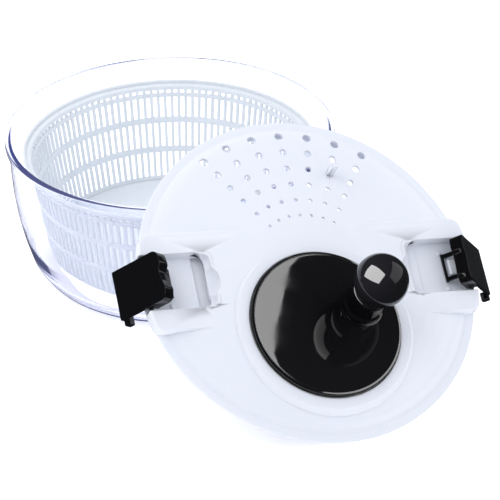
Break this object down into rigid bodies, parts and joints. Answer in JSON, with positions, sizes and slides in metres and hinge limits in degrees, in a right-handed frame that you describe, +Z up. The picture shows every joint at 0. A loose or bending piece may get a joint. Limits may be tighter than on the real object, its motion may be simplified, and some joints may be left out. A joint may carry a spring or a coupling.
{
  "type": "salad spinner",
  "caption": "Hand-cranked salad spinner: clear bowl with a slotted basket inside, and a white lid with drain holes, crank disc, ball knob and side latches leaning on its rim.",
  "frame": {"origin": "centre of the bowl's flat foot", "axes": "+Z up along the bowl's axis; -Y towards the side the lid leans on; +X to the right of it"},
  "size_m": [0.3594, 0.3954, 0.1517],
  "materials": {
    "clear": "clear moulded acrylic-type plastic",
    "frosted": "translucent natural polypropylene",
    "white": "white moulded plastic, satin gloss",
    "black": "black moulded plastic, high gloss",
    "natural": "natural acetal",
    "steel": "stainless steel"
  },
  "bodies": {
    "bowl": {"bowl": "clear"},
    "sleeve": {"pivot_sleeve": "natural"},
    "basket": {"basket": "frosted"},
    "lid": {"lid_shell": "white", "shaft_bush": "natural", "crank_bush": "natural"},
    "crank": {"crank_disc": "black", "ring_gear": "natural", "crank_bolt": "steel", "crank_washer": "steel", "knob_collar": "black", "knob_post": "steel"},
    "knob": {"knob": "black"},
    "drive": {"pinion": "natural", "drive_plate": "white", "drive_washer": "steel", "drive_screw": "steel"},
    "latch_left": {"latch_left": "black", "latch_bar_left": "steel"},
    "latch_right": {"latch_right": "black", "latch_bar_right": "steel"}
  },
  "joints": [
    {"name": "basket_lift", "type": "slide", "parent": "bowl", "child": "sleeve", "axis": [0, 0, 1], "range_m": [0, 0.018]},
    {"name": "basket_spin", "type": "hinge", "parent": "sleeve", "child": "basket", "pos_m": [0, 0, 0.0345], "axis": [0, 0, 1], "continuous": true},
    {"name": "lid_lift", "type": "slide", "parent": "bowl", "child": "lid", "axis": [0, 0, 1], "range_m": [0, 0.15]},
    {"name": "crank_spin", "type": "hinge", "parent": "lid", "child": "crank", "pos_m": [0.10865, -0.19596, 0.05526], "axis": [0.2973, -0.5087, 0.808], "continuous": true},
    {"name": "drive_spin", "type": "hinge", "parent": "lid", "child": "drive", "pos_m": [0.101, -0.1632, 0.0787], "axis": [0.2973, -0.5087, 0.808], "continuous": true},
    {"name": "knob_spin", "type": "hinge", "parent": "crank", "child": "knob", "pos_m": [0.14963, -0.20344, 0.09983], "axis": [0.2973, -0.5087, 0.808], "continuous": true},
    {"name": "latch_left_swing", "type": "hinge", "parent": "lid", "child": "latch_left", "pos_m": [-0.01153, -0.20334, 0.09805], "axis": [0.1867, -0.7989, -0.5717], "range_deg": [0, 33.5]},
    {"name": "latch_right_swing", "type": "hinge", "parent": "lid", "child": "latch_right", "pos_m": [0.21507, -0.12571, 0.06355], "axis": [-0.1867, 0.7989, 0.5717], "range_deg": [0, 42]}
  ],
  "couplings": [
    {"joint": "drive_spin", "follows": "crank_spin", "ratio": 5.1}
  ]
}
